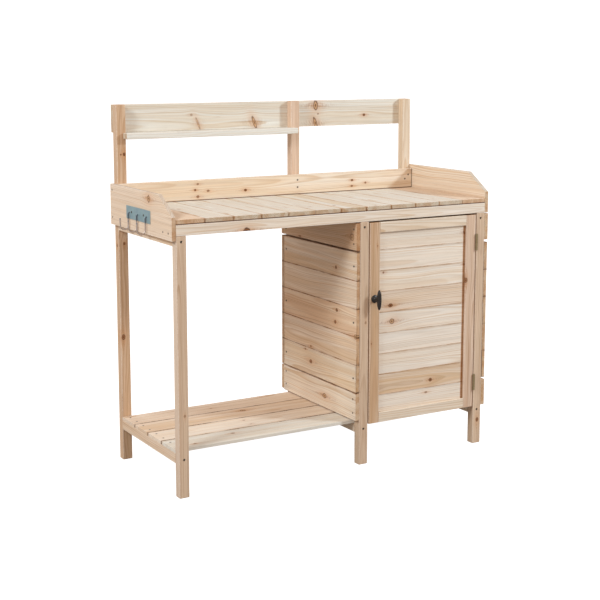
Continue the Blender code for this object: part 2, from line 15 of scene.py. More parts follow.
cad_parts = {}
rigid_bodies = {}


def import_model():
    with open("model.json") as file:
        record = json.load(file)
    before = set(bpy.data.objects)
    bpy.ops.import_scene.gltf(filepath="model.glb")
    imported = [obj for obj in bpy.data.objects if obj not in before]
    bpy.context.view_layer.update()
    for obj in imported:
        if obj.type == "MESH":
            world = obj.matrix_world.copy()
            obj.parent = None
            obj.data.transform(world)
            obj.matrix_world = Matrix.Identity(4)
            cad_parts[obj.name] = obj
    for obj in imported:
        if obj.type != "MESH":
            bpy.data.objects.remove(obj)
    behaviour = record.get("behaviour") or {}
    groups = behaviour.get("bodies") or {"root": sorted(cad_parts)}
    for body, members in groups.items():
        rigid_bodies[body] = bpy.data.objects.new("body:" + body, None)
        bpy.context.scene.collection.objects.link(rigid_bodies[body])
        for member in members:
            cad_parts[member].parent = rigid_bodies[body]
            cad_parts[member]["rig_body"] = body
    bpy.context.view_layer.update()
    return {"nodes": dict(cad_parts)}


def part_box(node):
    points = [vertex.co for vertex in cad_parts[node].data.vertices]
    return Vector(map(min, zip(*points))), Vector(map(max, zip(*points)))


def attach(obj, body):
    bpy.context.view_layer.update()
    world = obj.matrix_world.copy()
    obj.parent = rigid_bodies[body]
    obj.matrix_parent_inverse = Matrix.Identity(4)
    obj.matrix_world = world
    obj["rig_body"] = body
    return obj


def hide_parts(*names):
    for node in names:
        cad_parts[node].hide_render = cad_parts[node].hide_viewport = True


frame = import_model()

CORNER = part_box("leg_front_left")[0]
NODES = frame["nodes"]
AXES = {"X": 0, "Y": 1, "Z": 2}


def on_face(axis, face, first, second):
    """A place on a plane across an axis, from its two other coordinates in order."""
    place = [first, second]
    place.insert(AXES[axis], face)
    return Vector(place)


def srgb(red, green, blue):
    """A linear colour from the 0 to 255 values that a colour chart gives."""
    def linear(value):
        share = value / 255
        return share / 12.92 if share <= 0.04045 else ((share + 0.055) / 1.055) ** 2.4
    return (linear(red), linear(green), linear(blue), 1.0)


# ---------- node tree helper
class Graph:
    """Short calls that add nodes to one tree and link them."""

    def __init__(self, tree):
        self.tree = tree

    def add(self, kind, **settings):
        node = self.tree.nodes.new(kind)
        for name, value in settings.items():
            setattr(node, name, value)
        return node

    def feed(self, socket, value):
        if isinstance(value, bpy.types.NodeSocket):
            self.tree.links.new(value, socket)
        else:
            socket.default_value = value

    def wired(self, kind, *values, **settings):
        """Add a node, feed its sockets in their order, and give its outputs."""
        node = self.add(kind, **settings)
        for socket, value in zip(node.inputs, values):
            self.feed(socket, value)
        return node.outputs

    def calc(self, operation, *values):
        return self.wired("ShaderNodeMath", *values, operation=operation)[0]

    def times(self, first, second):
        return self.calc("MULTIPLY", first, second)

    def minus(self, first, second):
        return self.calc("SUBTRACT", first, second)

    def times_plus(self, value, factor, addend):
        return self.calc("MULTIPLY_ADD", value, factor, addend)

    def length(self, first, second):
        """The length of a vector of two parts."""
        squares = (self.calc("POWER", first, 2.0), self.calc("POWER", second, 2.0))
        return self.calc("SQRT", self.calc("ADD", *squares))

    def smooth(self, value, low, high, start=0.0, end=1.0):
        """A smooth step from start to end while value goes from low to high."""
        steps = (value, low, high, start, end)
        return self.wired("ShaderNodeMapRange", *steps, interpolation_type="SMOOTHSTEP")["Result"]

    def vector(self, *parts):
        return self.wired("ShaderNodeCombineXYZ", *parts)[0]

    def split(self, vector):
        return self.wired("ShaderNodeSeparateXYZ", vector)

    def fill(self, node, **values):
        """Feed a node's sockets by their names, and give its outputs."""
        for name, value in values.items():
            self.feed(node.inputs[name], value)
        return node.outputs

    def noise(self, vector, scale=1.0, detail=2.0, roughness=0.5):
        node = self.add("ShaderNodeTexNoise")
        return self.fill(node, Vector=vector, Scale=scale, Detail=detail, Roughness=roughness)

    def mix(self, amount, first, second, blend="MIX"):
        node = self.add("ShaderNodeMix", data_type="RGBA", blend_type=blend)
        self.feed(node.inputs[0], amount)
        self.feed(node.inputs[6], first)
        self.feed(node.inputs[7], second)
        return node.outputs[2]

    def multiply_in(self, amount, colour, tint):
        """The colour with that much of a second colour multiplied into it, for the wood's own
        colour and for painted shade alike.
        """
        return self.mix(amount, colour, self.mix(1.0, colour, tint, "MULTIPLY"))

    def bump(self, height, distance, strength):
        node = self.add("ShaderNodeBump")
        return self.fill(node, Strength=strength, Distance=distance, Height=height)[0]


def new_group(name, inputs, outputs):
    """A node group of float and colour sockets, and the graph and ends to build it with."""
    tree = bpy.data.node_groups.new(name, "ShaderNodeTree")
    for direction, sockets in (("INPUT", inputs), ("OUTPUT", outputs)):
        for label in sockets:
            kind = "NodeSocketColor" if label.endswith("Colour") else "NodeSocketFloat"
            tree.interface.new_socket(label, in_out=direction, socket_type=kind)
    graph = Graph(tree)
    given = graph.add("NodeGroupInput").outputs
    result = graph.add("NodeGroupOutput").inputs
    return tree, graph, given, result


def new_material(name):
    """A new material, its graph and its Principled shader's sockets."""
    material = bpy.data.materials.new(name)
    material.use_nodes = True
    tree = material.node_tree
    return material, Graph(tree), tree.nodes["Principled BSDF"].inputs


# ---------- softwood
KNOT_MASKS = ("Core", "Rim", "Pith", "Halo", "Tail")
# How strongly each part of the grain shows, from 0 to 1.
LATE_SHOWS = 0.62
LINE_SHOWS = 0.42
STREAK_SHOWS = 0.055
FIBRE_SHOWS = 0.1
FLECK_SHOWS = 0.4


def make_knot_group():
    """One branch through a board. Along and Across are measured from its middle; Push is how
    far the grain is moved aside, and the others are masks from 0 to 1."""
    tree, g, given, result = new_group(
        "knot", ("Along", "Across", "Radius", "Stretch"), ("Push",) + KNOT_MASKS)
    radius = given["Radius"]
    along = g.calc("DIVIDE", given["Along"], g.times(radius, given["Stretch"]))
    across = g.calc("DIVIDE", given["Across"], radius)
    wobble = g.noise(g.vector(along, across, g.times(radius, 900.0)), 1.3, 2.0)[0]
    distance = g.length(along, across)
    uneven = g.times_plus(g.minus(wobble, 0.5), 0.8, distance)

    def spread(length, width):
        """A soft spot that fades out at so many radii along and across the grain."""
        reach = g.calc("ADD", g.calc("POWER", g.calc("DIVIDE", across, width), 2.0),
                       g.calc("POWER", g.calc("DIVIDE", along, length), 2.0))
        return g.calc("EXPONENT", g.times(reach, -1.0))

    strength = g.times(g.calc("MINIMUM", given["Stretch"], 1.0), 1.25)
    aside = g.times(g.calc("TANH", across), g.times(radius, strength))
    g.feed(result["Push"], g.times(aside, spread(5.0, 3.2)))
    g.feed(result["Core"], g.smooth(uneven, 0.8, 1.05, 1.0, 0.0))
    g.feed(result["Rim"], g.times(g.smooth(uneven, 0.6, 0.92), g.smooth(uneven, 1.0, 1.3, 1.0, 0.0)))
    g.feed(result["Pith"], g.smooth(uneven, 0.15, 0.5, 1.0, 0.0))
    g.feed(result["Halo"], spread(3.6, 1.9))
    g.feed(result["Tail"], g.times(spread(7.0, 0.55), g.smooth(wobble, 0.35, 0.65)))
    return tree


def make_grain_group():
    """Year rings round a pith line beside the board, with fibres, streaks and flecks. Along,
    Across and Through are measured from the board's middle, in metres."""
    inputs = ("Along", "Across", "Through", "Seed", "Pith across", "Pith through", "Ring width",
              "Warmth", "Pale Colour", "Warm Colour", "Late Colour")
    tree, g, given, result = new_group("grain", inputs, ("Colour", "Height", "Late"))
    along, across, through, seed = (given[k] for k in ("Along", "Across", "Through", "Seed"))

    def stretched(length_scale, width_scale, shift):
        """Board coordinates squeezed along the grain and moved by the board's seed."""
        offset = g.times(seed, shift)
        return g.vector(
            g.times_plus(along, length_scale, offset),
            g.times_plus(across, width_scale, offset),
            g.times_plus(through, width_scale, seed),
        )

    drift = g.split(g.noise(stretched(2.0, 8.0, 3.1), 1.0, 2.0)[1])
    moved_across = g.times_plus(g.minus(drift[0], 0.5), 0.036, across)
    moved_through = g.times_plus(g.minus(drift[1], 0.5), 0.022, through)
    from_pith = g.length(g.minus(moved_across, given["Pith across"]),
                         g.minus(moved_through, given["Pith through"]))
    tapered = g.times_plus(along, 0.014, from_pith)
    uneven = g.noise(g.vector(g.times(tapered, 70.0), seed, 0.0), 1.0, 1.0)[0]
    years = g.times_plus(uneven, 1.6, g.calc("DIVIDE", tapered, given["Ring width"]))
    season = g.calc("FRACT", years)
    late = g.times(g.smooth(season, 0.25, 0.86), g.smooth(season, 0.88, 1.0, 1.0, 0.0))
    chance = g.add("ShaderNodeTexWhiteNoise", noise_dimensions="2D")
    year = g.vector(g.calc("FLOOR", years), seed, 0.0)
    late = g.times(late, g.times_plus(g.fill(chance, Vector=year)[0], 0.8, 0.2))

    by_year = g.vector(g.times(years, 0.42), g.times(along, 0.8), seed)
    ring_band = g.smooth(g.noise(by_year, 1.0, 2.0)[0], 0.42, 0.66)
    blotch = g.smooth(g.noise(stretched(1.6, 30.0, 5.7), 1.0, 3.0)[0], 0.42, 0.64)
    warm = g.times(g.calc("MAXIMUM", ring_band, blotch), given["Warmth"])
    streak = g.smooth(g.noise(stretched(3.0, 120.0, 1.9), 1.0, 3.0, 0.65)[0], 0.3, 0.7, -1.0, 1.0)
    line = g.smooth(g.noise(stretched(2.2, 230.0, 4.3), 1.0, 2.0)[0], 0.64, 0.74)
    fibre = g.noise(stretched(26.0, 1400.0, 2.3), 1.0, 2.0)[0]
    fleck = g.smooth(g.noise(stretched(16.0, 520.0, 7.7), 1.0, 1.0)[0], 0.72, 0.8)

    body = g.mix(warm, given["Pale Colour"], given["Warm Colour"])
    body = g.mix(g.times(late, LATE_SHOWS), body, given["Late Colour"])
    body = g.mix(g.times(line, LINE_SHOWS), body, given["Late Colour"], "MULTIPLY")
    light = g.times_plus(g.minus(fibre, 0.5), FIBRE_SHOWS, 1.0)
    light = g.times_plus(streak, STREAK_SHOWS, light)
    body = g.mix(1.0, body, g.vector(light, light, light), "MULTIPLY")
    body = g.mix(g.times(fleck, FLECK_SHOWS), body, given["Late Colour"], "MULTIPLY")
    g.feed(result["Colour"], body)
    height = g.times_plus(late, 0.55, g.times(fibre, 0.6))
    g.feed(result["Height"], g.minus(height, g.times(fleck, 0.5)))
    g.feed(result["Late"], late)
    return tree


KNOT_GROUP = make_knot_group()
GRAIN_GROUP = make_grain_group()

KNOT_CORE = srgb(150, 96, 56)
KNOT_HEART = srgb(204, 160, 116)
KNOT_DARK = srgb(82, 48, 30)
KNOT_HALO = srgb(212, 150, 94)
BIG_KNOT = 0.007
CHANCE_STRETCH = (0.95, 1.5)
RING_WIDTH = 0.004
GLOSS_LEVEL = 0.22
ROUGHNESS = 0.74
GRAIN_DEPTH = 0.00035
SCREW_RADIUS = 0.0027
SCREW_SHADE = srgb(92, 62, 42)
CRUSHED_RADIUS = SCREW_RADIUS * 1.55

# Ends, edges and faces, with painted shade on the side boards' tops and painted light on some
# left faces. An edge width is where wear or stains start to fade and are gone.
END_GRAIN_LIGHT = srgb(234, 220, 204)
END_GRAIN_DARK = srgb(218, 190, 164)
PALE_END_AMOUNT = 0.14
TOP_PAINTED_SHADE = srgb(227, 231, 236)
LEFT_PAINTED_LIGHT = {"leg_front_left": 0.42, "post_back_left": 0.12}
PALE_RUB_AND_LIGHT = srgb(255, 247, 236)
EDGE_WIDTH = (0.0006, 0.004)

# Stains and painted shade beside the seams, with their reach from the edge, and painted shade
# where boards meet at a corner and in the door panel's recess.
SEAM_STAIN_AND_SHADE = {
    "worktop_board": (srgb(212, 172, 132), 0.0048), "shelf_slat": (srgb(150, 116, 86), 0.0026),
    "shelf_slat_1": None, "door_panel": (srgb(222, 198, 172), 0.0026),
    "cabinet": (srgb(186, 146, 110), 0.0026),
}
SEAM_START = 0.0006
FOOT_PAINTED_SHADE = srgb(120, 86, 60)
FOOT_WIDTH = (0.0022, 0.0036)
RECESS_PAINTED_SHADOW = srgb(204, 160, 122)
RECESS_REACH = 0.0085
RECESS_FADE = 0.0015
CORNER_SHADE_AMOUNT = 0.9

# Each tone's pale wood, warm wood and late wood.
TONES = {
    "pale": ((242, 231, 216), (234, 208, 175), (213, 177, 135)),
    "cream": ((237, 224, 206), (225, 195, 156), (202, 162, 114)),
    "stone": ((231, 229, 220), (222, 206, 181), (203, 175, 138)),
    "sand": ((236, 217, 196), (222, 190, 153), (198, 158, 112)),
    "blush": ((227, 201, 177), (210, 174, 142), (185, 142, 104)),
    "orange": ((236, 213, 186), (219, 175, 132), (193, 141, 93)),
    "tan": ((218, 188, 157), (203, 164, 124), (180, 136, 98)),
    "pink": ((222, 196, 168), (201, 168, 137), (179, 140, 104)),
}


def longest_match(name, table):
    """The table's value for the longest key that the name starts with."""
    keys = [key for key in table if name.startswith(key)]
    return table[max(keys, key=len)] if keys else None


def wide_and_thin(size, along):
    """The two axes across the grain, the wider first."""
    return sorted((a for a in range(3) if a != along), key=lambda a: -size[a])


class Board:
    """One board's box and axes, and the steps that paint its wood in a material's graph."""

    def __init__(self, name, low, high, grain):
        self.name, self.low, self.high = name, low, high
        self.centre, self.size = (low + high) / 2, high - low
        self.material, self.g, self.shader = new_material(name)
        texture = self.g.add("ShaderNodeTexCoord")
        self.point = texture.outputs["Object"]
        self.place = self.g.split(self.point)
        self.normal = self.g.split(texture.outputs["Normal"])
        self.along = AXES[grain]
        self.across, self.through = wide_and_thin(self.size, self.along)
        self.grown = [self.g.minus(self.place[a], self.centre[a]) for a in range(3)]

    def find_knots(self, knots, dice):
        """Masks for all knots together. The grain is pushed aside around each."""
        g = self.g
        masks = dict.fromkeys(KNOT_MASKS + ("Heart",), 0.0)
        for spot, radius, branch, dark, stretch, lean in knots:
            side = 3 - self.along - AXES[branch]
            found = g.add("ShaderNodeGroup", node_tree=KNOT_GROUP)
            beside = g.minus(self.place[side], spot[side])
            ahead = g.minus(self.place[self.along], spot[self.along])
            shown = g.fill(found, Along=g.times_plus(beside, -lean, ahead), Across=beside,
                           Radius=radius, Stretch=stretch or dice.uniform(*CHANCE_STRETCH))
            self.grown[side] = g.minus(self.grown[side], shown["Push"])
            for label in KNOT_MASKS:
                masks[label] = g.calc("MAXIMUM", masks[label], g.times(shown[label], dark))
            if radius >= BIG_KNOT and dark < 1.0:
                masks["Heart"] = g.calc("MAXIMUM", masks["Heart"], shown["Core"])
        return masks

    def grain(self, tone, warmth, dice):
        """The grain's colour, height and share of late wood."""
        grains = self.g.add("ShaderNodeGroup", node_tree=GRAIN_GROUP)
        pith_side = dice.choice((-1, 1))
        settings = {
            "Along": self.grown[self.along], "Across": self.grown[self.across],
            "Through": self.grown[self.through], "Seed": dice.uniform(0, 40),
            "Ring width": RING_WIDTH * dice.uniform(0.85, 1.3),
            "Pith across": dice.uniform(-0.7, 0.7) * self.size[self.across],
            "Pith through": pith_side * (self.size[self.through] / 2 + dice.uniform(0.008, 0.05)),
            "Warmth": warmth,
        }
        colours = [srgb(*colour) for colour in TONES[tone]]
        settings.update(zip(("Pale Colour", "Warm Colour", "Late Colour"), colours))
        for label, value in settings.items():
            self.g.feed(grains.inputs[label], value)
        return (grains.outputs[label] for label in ("Colour", "Height", "Late"))

    def paint_faces(self, colour):
        """Sawn ends, and faces painted paler or duller than the rest of their board: painted light
        on some left faces, painted shade on the side boards' tops.
        """
        g = self.g
        end = g.smooth(g.calc("ABSOLUTE", self.normal[self.along]), 0.6, 0.9)
        patch = g.smooth(g.noise(self.point, 26.0, 3.0, 0.6)[0], 0.4, 0.62)
        end_shade = g.mix(patch, END_GRAIN_LIGHT, END_GRAIN_DARK)
        if self.name.startswith("shelf_slat"):
            colour = g.mix(end, colour, g.mix(PALE_END_AMOUNT, colour, end_shade, "SCREEN"))
        else:
            colour = g.multiply_in(end, colour, end_shade)
        # Painted shade: the side boards' tops are darkened where they would catch the light.
        if self.name.startswith("side_board"):
            colour = g.multiply_in(g.smooth(self.normal[2], 0.3, 0.6), colour, TOP_PAINTED_SHADE)
        # Painted light: the left faces of these two parts are made paler, standing in for light from the
        # lower left.
        if self.name in LEFT_PAINTED_LIGHT:
            left = g.smooth(self.normal[0], -0.8, -0.4, LEFT_PAINTED_LIGHT[self.name], 0.0)
            colour = g.mix(left, colour, g.mix(0.5, colour, PALE_RUB_AND_LIGHT, "SCREEN"))
        return colour

    def paint_edges(self, colour):
        """Edges rubbed pale, and stains with painted shade beside the seams."""
        g = self.g
        inner = []
        for axis in (self.across, self.through):
            off_centre = g.calc("ABSOLUTE", g.minus(self.place[axis], self.centre[axis]))
            inner.append(g.minus(self.size[axis] / 2, off_centre))
        ragged = g.noise(self.point, 160.0, 2.0)[0]
        edge = g.smooth(g.calc("MAXIMUM", *inner), *EDGE_WIDTH, 1.0, 0.0)
        edge = g.times(edge, g.smooth(ragged, 0.35, 0.7, 0.15, 0.6))
        colour = g.mix(edge, colour, g.mix(0.5, colour, PALE_RUB_AND_LIGHT, "SCREEN"))
        seam_stain_and_shade = longest_match(self.name, SEAM_STAIN_AND_SHADE)
        if not seam_stain_and_shade:
            return colour
        tint, reach = seam_stain_and_shade
        # Seams darkened: partly their own brown joint colour, partly painted shade in the gaps between
        # boards.
        seam = g.smooth(inner[0], SEAM_START, reach, 1.0, 0.0)
        patchy = g.smooth(g.noise(self.point, 14.0, 2.0)[0], 0.36, 0.62, 0.35, 1.0)
        patchy = g.times(patchy, g.smooth(ragged, 0.35, 0.6, 0.6, 1.0))
        return g.multiply_in(g.times(seam, patchy), colour, tint)

    def paint_corners(self, colour):
        """Painted shade: dark lines where a board meets the next one at a corner, and a painted
        shadow of the right stile on the door panel.
        """
        g = self.g
        # Painted shade: a dark line along the foot of the worktop boards and the backsplash, and up the
        # backsplash's right end beside the side board.
        if self.name.startswith(("worktop_board", "backsplash")):
            above = g.minus(self.place[2], self.low.z)
            foot = g.smooth(above, *FOOT_WIDTH, CORNER_SHADE_AMOUNT, 0.0)
            if self.name == "backsplash":
                inside = g.minus(self.high.x, self.place[0])
                corner = g.smooth(inside, *FOOT_WIDTH, CORNER_SHADE_AMOUNT, 0.0)
                foot = g.calc("MAXIMUM", foot, corner)
            colour = g.multiply_in(foot, colour, FOOT_PAINTED_SHADE)
        # Painted shadow: a darker strip on the door panel beside the right stile, where the stile's shadow
        # falls in the recess.
        if self.name.startswith("door_panel"):
            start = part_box("door_stile_right")[0].x - RECESS_REACH
            corner = g.smooth(self.place[0], start, start + RECESS_FADE, 0.0, CORNER_SHADE_AMOUNT)
            colour = g.multiply_in(corner, colour, RECESS_PAINTED_SHADOW)
        return colour

    def paint_knots(self, masks, colour, height):
        """Knots over the grain, with a rim that is a little sunk."""
        g = self.g
        colour = g.mix(g.times(masks["Halo"], 0.55), colour, KNOT_HALO)
        colour = g.mix(g.times(masks["Tail"], 0.6), colour, KNOT_CORE)
        inside = g.mix(masks["Heart"], KNOT_CORE, KNOT_HEART)
        colour = g.mix(masks["Core"], colour, inside)
        colour = g.mix(masks["Pith"], colour, KNOT_DARK)
        colour = g.mix(g.times(masks["Rim"], 0.85), colour, KNOT_DARK)
        return colour, g.minus(height, g.times(masks["Rim"], 0.8))

    def paint_screw(self, spot, colour, height):
        """Crushed dark wood around a screw head."""
        g = self.g
        away = g.wired("ShaderNodeVectorMath", self.point, spot, operation="DISTANCE")["Value"]
        crushed = g.smooth(away, SCREW_RADIUS, CRUSHED_RADIUS, 1.0, 0.0)
        colour = g.mix(g.times(crushed, 0.85), colour, SCREW_SHADE)
        return colour, g.minus(height, crushed)


def timber(name, low, high, grain, tone, warmth, knots, screws):
    """A softwood material for one board between two corners. knots are made by knots_on(),
    and screws are the places of screw heads on the board's faces."""
    dice = random.Random(name)
    board = Board(name, low, high, grain)
    masks = board.find_knots(knots, dice)
    colour, height, late = board.grain(tone, warmth, dice)
    colour = board.paint_corners(board.paint_edges(board.paint_faces(colour)))
    if knots:
        colour, height = board.paint_knots(masks, colour, height)
    for spot in screws:
        colour, height = board.paint_screw(spot, colour, height)
    g, shader = board.g, board.shader
    g.feed(shader["Base Color"], colour)
    g.feed(shader["Roughness"], g.times_plus(late, -0.1, ROUGHNESS))
    g.feed(shader["Specular IOR Level"], GLOSS_LEVEL)
    g.feed(shader["Normal"], g.bump(height, GRAIN_DEPTH, 0.55))
    return board.material


# ---------- other finishes
def speckled(name, colours, roughness, metallic, scale, depth, coat=0.0):
    """A metal, paint or plastic finish: two mottled colours with specks of a third, uneven
    gloss and a fine bump. scale is that of the mottling and depth that of the bump."""
    material, g, shader = new_material(name)
    first, second, speck = (srgb(*colour) for colour in colours)
    place = g.add("ShaderNodeTexCoord").outputs["Object"]
    broad = g.smooth(g.noise(place, scale, 4.0, 0.6)[0], 0.35, 0.68)
    fine = g.noise(place, scale * 9.0, 3.0, 0.6)[0]
    colour = g.mix(broad, first, second)
    g.feed(shader["Base Color"], g.mix(g.smooth(fine, 0.6, 0.78, 0.0, 0.5), colour, speck))
    g.feed(shader["Roughness"], g.times_plus(fine, 0.3, roughness - 0.15))
    g.feed(shader["Metallic"], metallic)
    g.feed(shader["Coat Weight"], coat)
    g.feed(shader["Normal"], g.bump(g.calc("ADD", fine, broad), depth, 0.6))
    return material


BLACK = speckled(
    "satin_black", ((46, 43, 40), (58, 53, 49), (84, 74, 64)), 0.42, 0.35, 240.0, 0.0001)
BRONZE = speckled(
    "dull_bronze", ((164, 146, 112), (142, 124, 90), (112, 92, 62)), 0.48, 0.35, 260.0, 0.00006)
ZINC = speckled(
    "bright_zinc", ((204, 202, 204), (182, 180, 184), (140, 138, 140)), 0.34, 0.55, 320.0, 0.00004)
DARK_ZINC = speckled(
    "dark_zinc", ((108, 104, 98), (84, 78, 70), (60, 54, 48)), 0.46, 0.85, 420.0, 0.00005)
FILM_BLUE = speckled(
    "film_blue", ((140, 168, 172), (128, 155, 166), (158, 182, 186)), 0.36, 0.0, 24.0, 0.00012, 0.25)
MATTE_WHITE = speckled(
    "matte_white", ((226, 223, 216), (216, 212, 204), (200, 196, 188)), 0.55, 0.0, 300.0, 0.00005)
WIRE_PAINTED_REFLECTION = srgb(84, 100, 114)
WIRE_FADE = 0.003


def wire_finish():
    """Bright wire that mirrors the blue plate where it runs over it."""
    colours = ((202, 188, 178), (182, 168, 158), (140, 128, 118))
    material = speckled("hook_wire", colours, 0.34, 0.45, 320.0, 0.00004)
    g = Graph(material.node_tree)
    base = material.node_tree.nodes["Principled BSDF"].inputs["Base Color"]
    height = g.split(g.add("ShaderNodeTexCoord").outputs["Object"])[2]
    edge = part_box("hook_plate")[0].z
    # Painted reflection: the wire takes a blue-grey colour at the plate's height.
    over = g.smooth(height, edge - WIRE_FADE, edge + WIRE_FADE, 0.0, 0.9)
    g.feed(base, g.mix(over, base.links[0].from_socket, WIRE_PAINTED_REFLECTION))
    return material


def dress(obj, material):
    """Give an object one material."""
    obj.data.materials.clear()
    obj.data.materials.append(material)
    return obj


# ---------- mesh helpers
def new_object(name, data):
    """A new object of some data, in the scene."""
    obj = bpy.data.objects.new(name, data)
    bpy.context.scene.collection.objects.link(obj)
    return obj


def link(name, mesh, smooth_angle=35.0):
    """A new object of a mesh, smooth except over sharp edges."""
    mesh.shade_smooth()
    mesh.set_sharp_from_angle(angle=math.radians(smooth_angle))
    return new_object(name, mesh)


def as_mesh(shape, name):
    """A mesh of a shape, which is freed."""
    mesh = bpy.data.meshes.new(name)
    shape.to_mesh(mesh)
    shape.free()
    return mesh


def close_up(shape, name):
    """A mesh of a closed shape with every face pointing out."""
    bmesh.ops.recalc_face_normals(shape, faces=shape.faces)
    if shape.calc_volume(signed=True) < 0.0:
        bmesh.ops.reverse_faces(shape, faces=shape.faces)
    return as_mesh(shape, name)


def lathe(profile, steps):
    """A closed solid turned about Z from (radius, height) pairs, top to bottom."""
    shape = bmesh.new()
    rings = []
    for radius, height in profile:
        turns = [2 * math.pi * step / steps for step in range(steps if radius else 1)]
        places = [(radius * math.cos(turn), radius * math.sin(turn), height) for turn in turns]
        rings.append([shape.verts.new(place) for place in places])
    for upper, lower in zip(rings, rings[1:]):
        for step in range(steps):
            after = (step + 1) % steps
            corners = [upper[step % len(upper)], lower[step % len(lower)]]
            if len(lower) > 1:
                corners.append(lower[after])
            if len(upper) > 1:
                corners.append(upper[after])
            shape.faces.new(corners)
    return close_up(shape, "turned")


def boolean(mesh, tools, operation):
    """The mesh joined with the tool meshes, or with them cut away."""
    helpers = [link(f"tool_{number}", tool) for number, tool in enumerate(tools)]
    obj = link("work", mesh)
    for helper in helpers:
        modifier = obj.modifiers.new(helper.name, "BOOLEAN")
        modifier.operation = operation
        modifier.solver = "EXACT"
        modifier.object = helper
    bpy.context.view_layer.update()
    evaluated = obj.evaluated_get(bpy.context.evaluated_depsgraph_get())
    result = bpy.data.meshes.new_from_object(evaluated)
    for done in [obj] + helpers:
        bpy.data.objects.remove(done, do_unlink=True)
    return result


def prism(radius, depth, sides, top_scale=1.0):
    """A tapered prism about Z, centred at the origin."""
    shape = bmesh.new()
    bmesh.ops.create_cone(
        shape, cap_ends=True, segments=sides, radius1=radius, radius2=radius * top_scale, depth=depth
    )
    return as_mesh(shape, "prism")


def facing(point, outward):
    """The placing of something whose own +Z is to look outward, such as "-X"."""
    towards = on_face(outward[1], 1 if outward[0] == "+" else -1, 0, 0)
    turn = Vector((0, 0, 1)).rotation_difference(towards).to_matrix().to_4x4()
    return Matrix.Translation(point) @ turn


def settle(obj, body):
    """Ride on a body."""
    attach(obj, body)
    return obj


def gather(node, kind, mesh, places, outward, material):
    """One piece made of copies of a mesh on a node, which rides on the node's body."""
    shape = bmesh.new()
    for place in places:
        copy = mesh.copy()
        copy.transform(facing(place, outward))
        shape.from_mesh(copy)
        bpy.data.meshes.remove(copy)
    name = f"{node}_{kind}"
    whole = dress(link(name, as_mesh(shape, name)), material)
    return settle(whole, NODES[node]["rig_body"])


# ---------- fasteners
SCREW_PROUD = 0.00022
SCREW_DEPTH = 0.0016
PAN_RADIUS = 0.0037
PAN_HEIGHT = 0.0016
PAN_SUNK = 0.0002
PAN_CROSS_DEPTH = 0.0018
BOLT_RADIUS = 0.0038
BOLT_SUNK = 0.002
BOLT_THICK = 0.0034
BOLT_BEVEL = 0.0004
SOCKET_LENGTH = 0.0044


def cross_tools(reach, depth, height):
    """Two crossed tapered bars that cut a cross recess."""
    bars = []
    for turn in (0.0, 90.0):
        bar = prism(reach, depth, 4, top_scale=1.5)
        bar.transform(Matrix.Rotation(math.radians(45.0), 4, "Z"))
        bar.transform(Matrix.Diagonal((1.0, 0.3, 1.0, 1.0)))
        bar.transform(Matrix.Rotation(math.radians(turn), 4, "Z"))
        bar.transform(Matrix.Translation((0.0, 0.0, height)))
        bars.append(bar)
    return bars


def flat_screw_mesh():
    """A countersunk head, almost flush, with a cross recess."""
    profile = [(0.0, SCREW_PROUD), (SCREW_RADIUS * 0.88, SCREW_PROUD), (SCREW_RADIUS, 0.0),
               (SCREW_RADIUS * 0.5, -SCREW_DEPTH), (0.0, -SCREW_DEPTH)]
    cross = cross_tools(SCREW_RADIUS * 0.55, SCREW_DEPTH, 0.0)
    return boolean(lathe(profile, 28), cross, "DIFFERENCE")


def pan_screw_mesh():
    """A round head that stands on its plate, with a cross recess."""
    steps = 7
    profile = [(0.0, PAN_HEIGHT)]
    for step in range(1, steps + 1):
        turn = math.pi / 2 * step / steps
        profile.append((PAN_RADIUS * math.sin(turn), PAN_HEIGHT * math.cos(turn)))
    profile += [(PAN_RADIUS, -PAN_SUNK), (0.0, -PAN_SUNK)]
    cross = cross_tools(PAN_RADIUS * 0.5, PAN_CROSS_DEPTH, PAN_HEIGHT)
    return boolean(lathe(profile, 32), cross, "DIFFERENCE")


def bolt_mesh():
    """A sunk bolt head with a hexagon socket."""
    top = -BOLT_SUNK
    profile = [(0.0, top), (BOLT_RADIUS * 0.9, top), (BOLT_RADIUS, top - BOLT_BEVEL),
               (BOLT_RADIUS, top - BOLT_THICK), (0.0, top - BOLT_THICK)]
    socket = prism(BOLT_RADIUS * 0.62, SOCKET_LENGTH, 6)
    socket.transform(Matrix.Translation((0.0, 0.0, top)))
    return boolean(lathe(profile, 32), [socket], "DIFFERENCE")


FLAT_SCREW = flat_screw_mesh()
PAN_SCREW = pan_screw_mesh()
BOLT = bolt_mesh()

# Insets of the screws' columns and rows, from a board's low side or, if negative, its high one.
# SPLASH_ODD's columns are measured from the right leg's middle and SLAT_ROWS from the slat's.
WALL_COLUMNS = (0.017, -0.017)
WALL_TOP_ROWS = (0.021, -0.022)
WALL_BOTTOM_ROWS = (0.025, -0.021)
SIDE_FRONT = ((0.026, 0.065), (0.022,))
SIDE_BACK = ((-0.016,), (0.025, -0.019))
SPLASH_ROWS = (0.025, -0.019)
SPLASH_ODD = ((-0.015, 0.033), (0.0, 0.048))
HUTCH_ROWS = (0.022, -0.022)
SLAT_COLUMNS = (0.019, -0.019)
SLAT_ROWS = (-0.0265, 0.0265)
DOOR_COLUMNS = (0.0065, -0.0065)
TONGUED_BOARDS = {
    "cabinet_left_panel": 5, "cabinet_right_panel": 5, "cabinet_back_panel": 5, "door_panel": 9,
}


def middle_of(node, axis):
    """The middle of a node along an axis."""
    low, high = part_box(node)
    return (low[AXES[axis]] + high[AXES[axis]]) / 2


LEG_MIDDLES = [middle_of(f"leg_front_{side}", "X") for side in ("left", "middle", "right")]


def inset(node, axis, insets):
    """Places along an axis, so far in from the node's low side, or if negative its high side."""
    low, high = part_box(node)
    return [(high if value < 0 else low)[AXES[axis]] + value for value in insets]


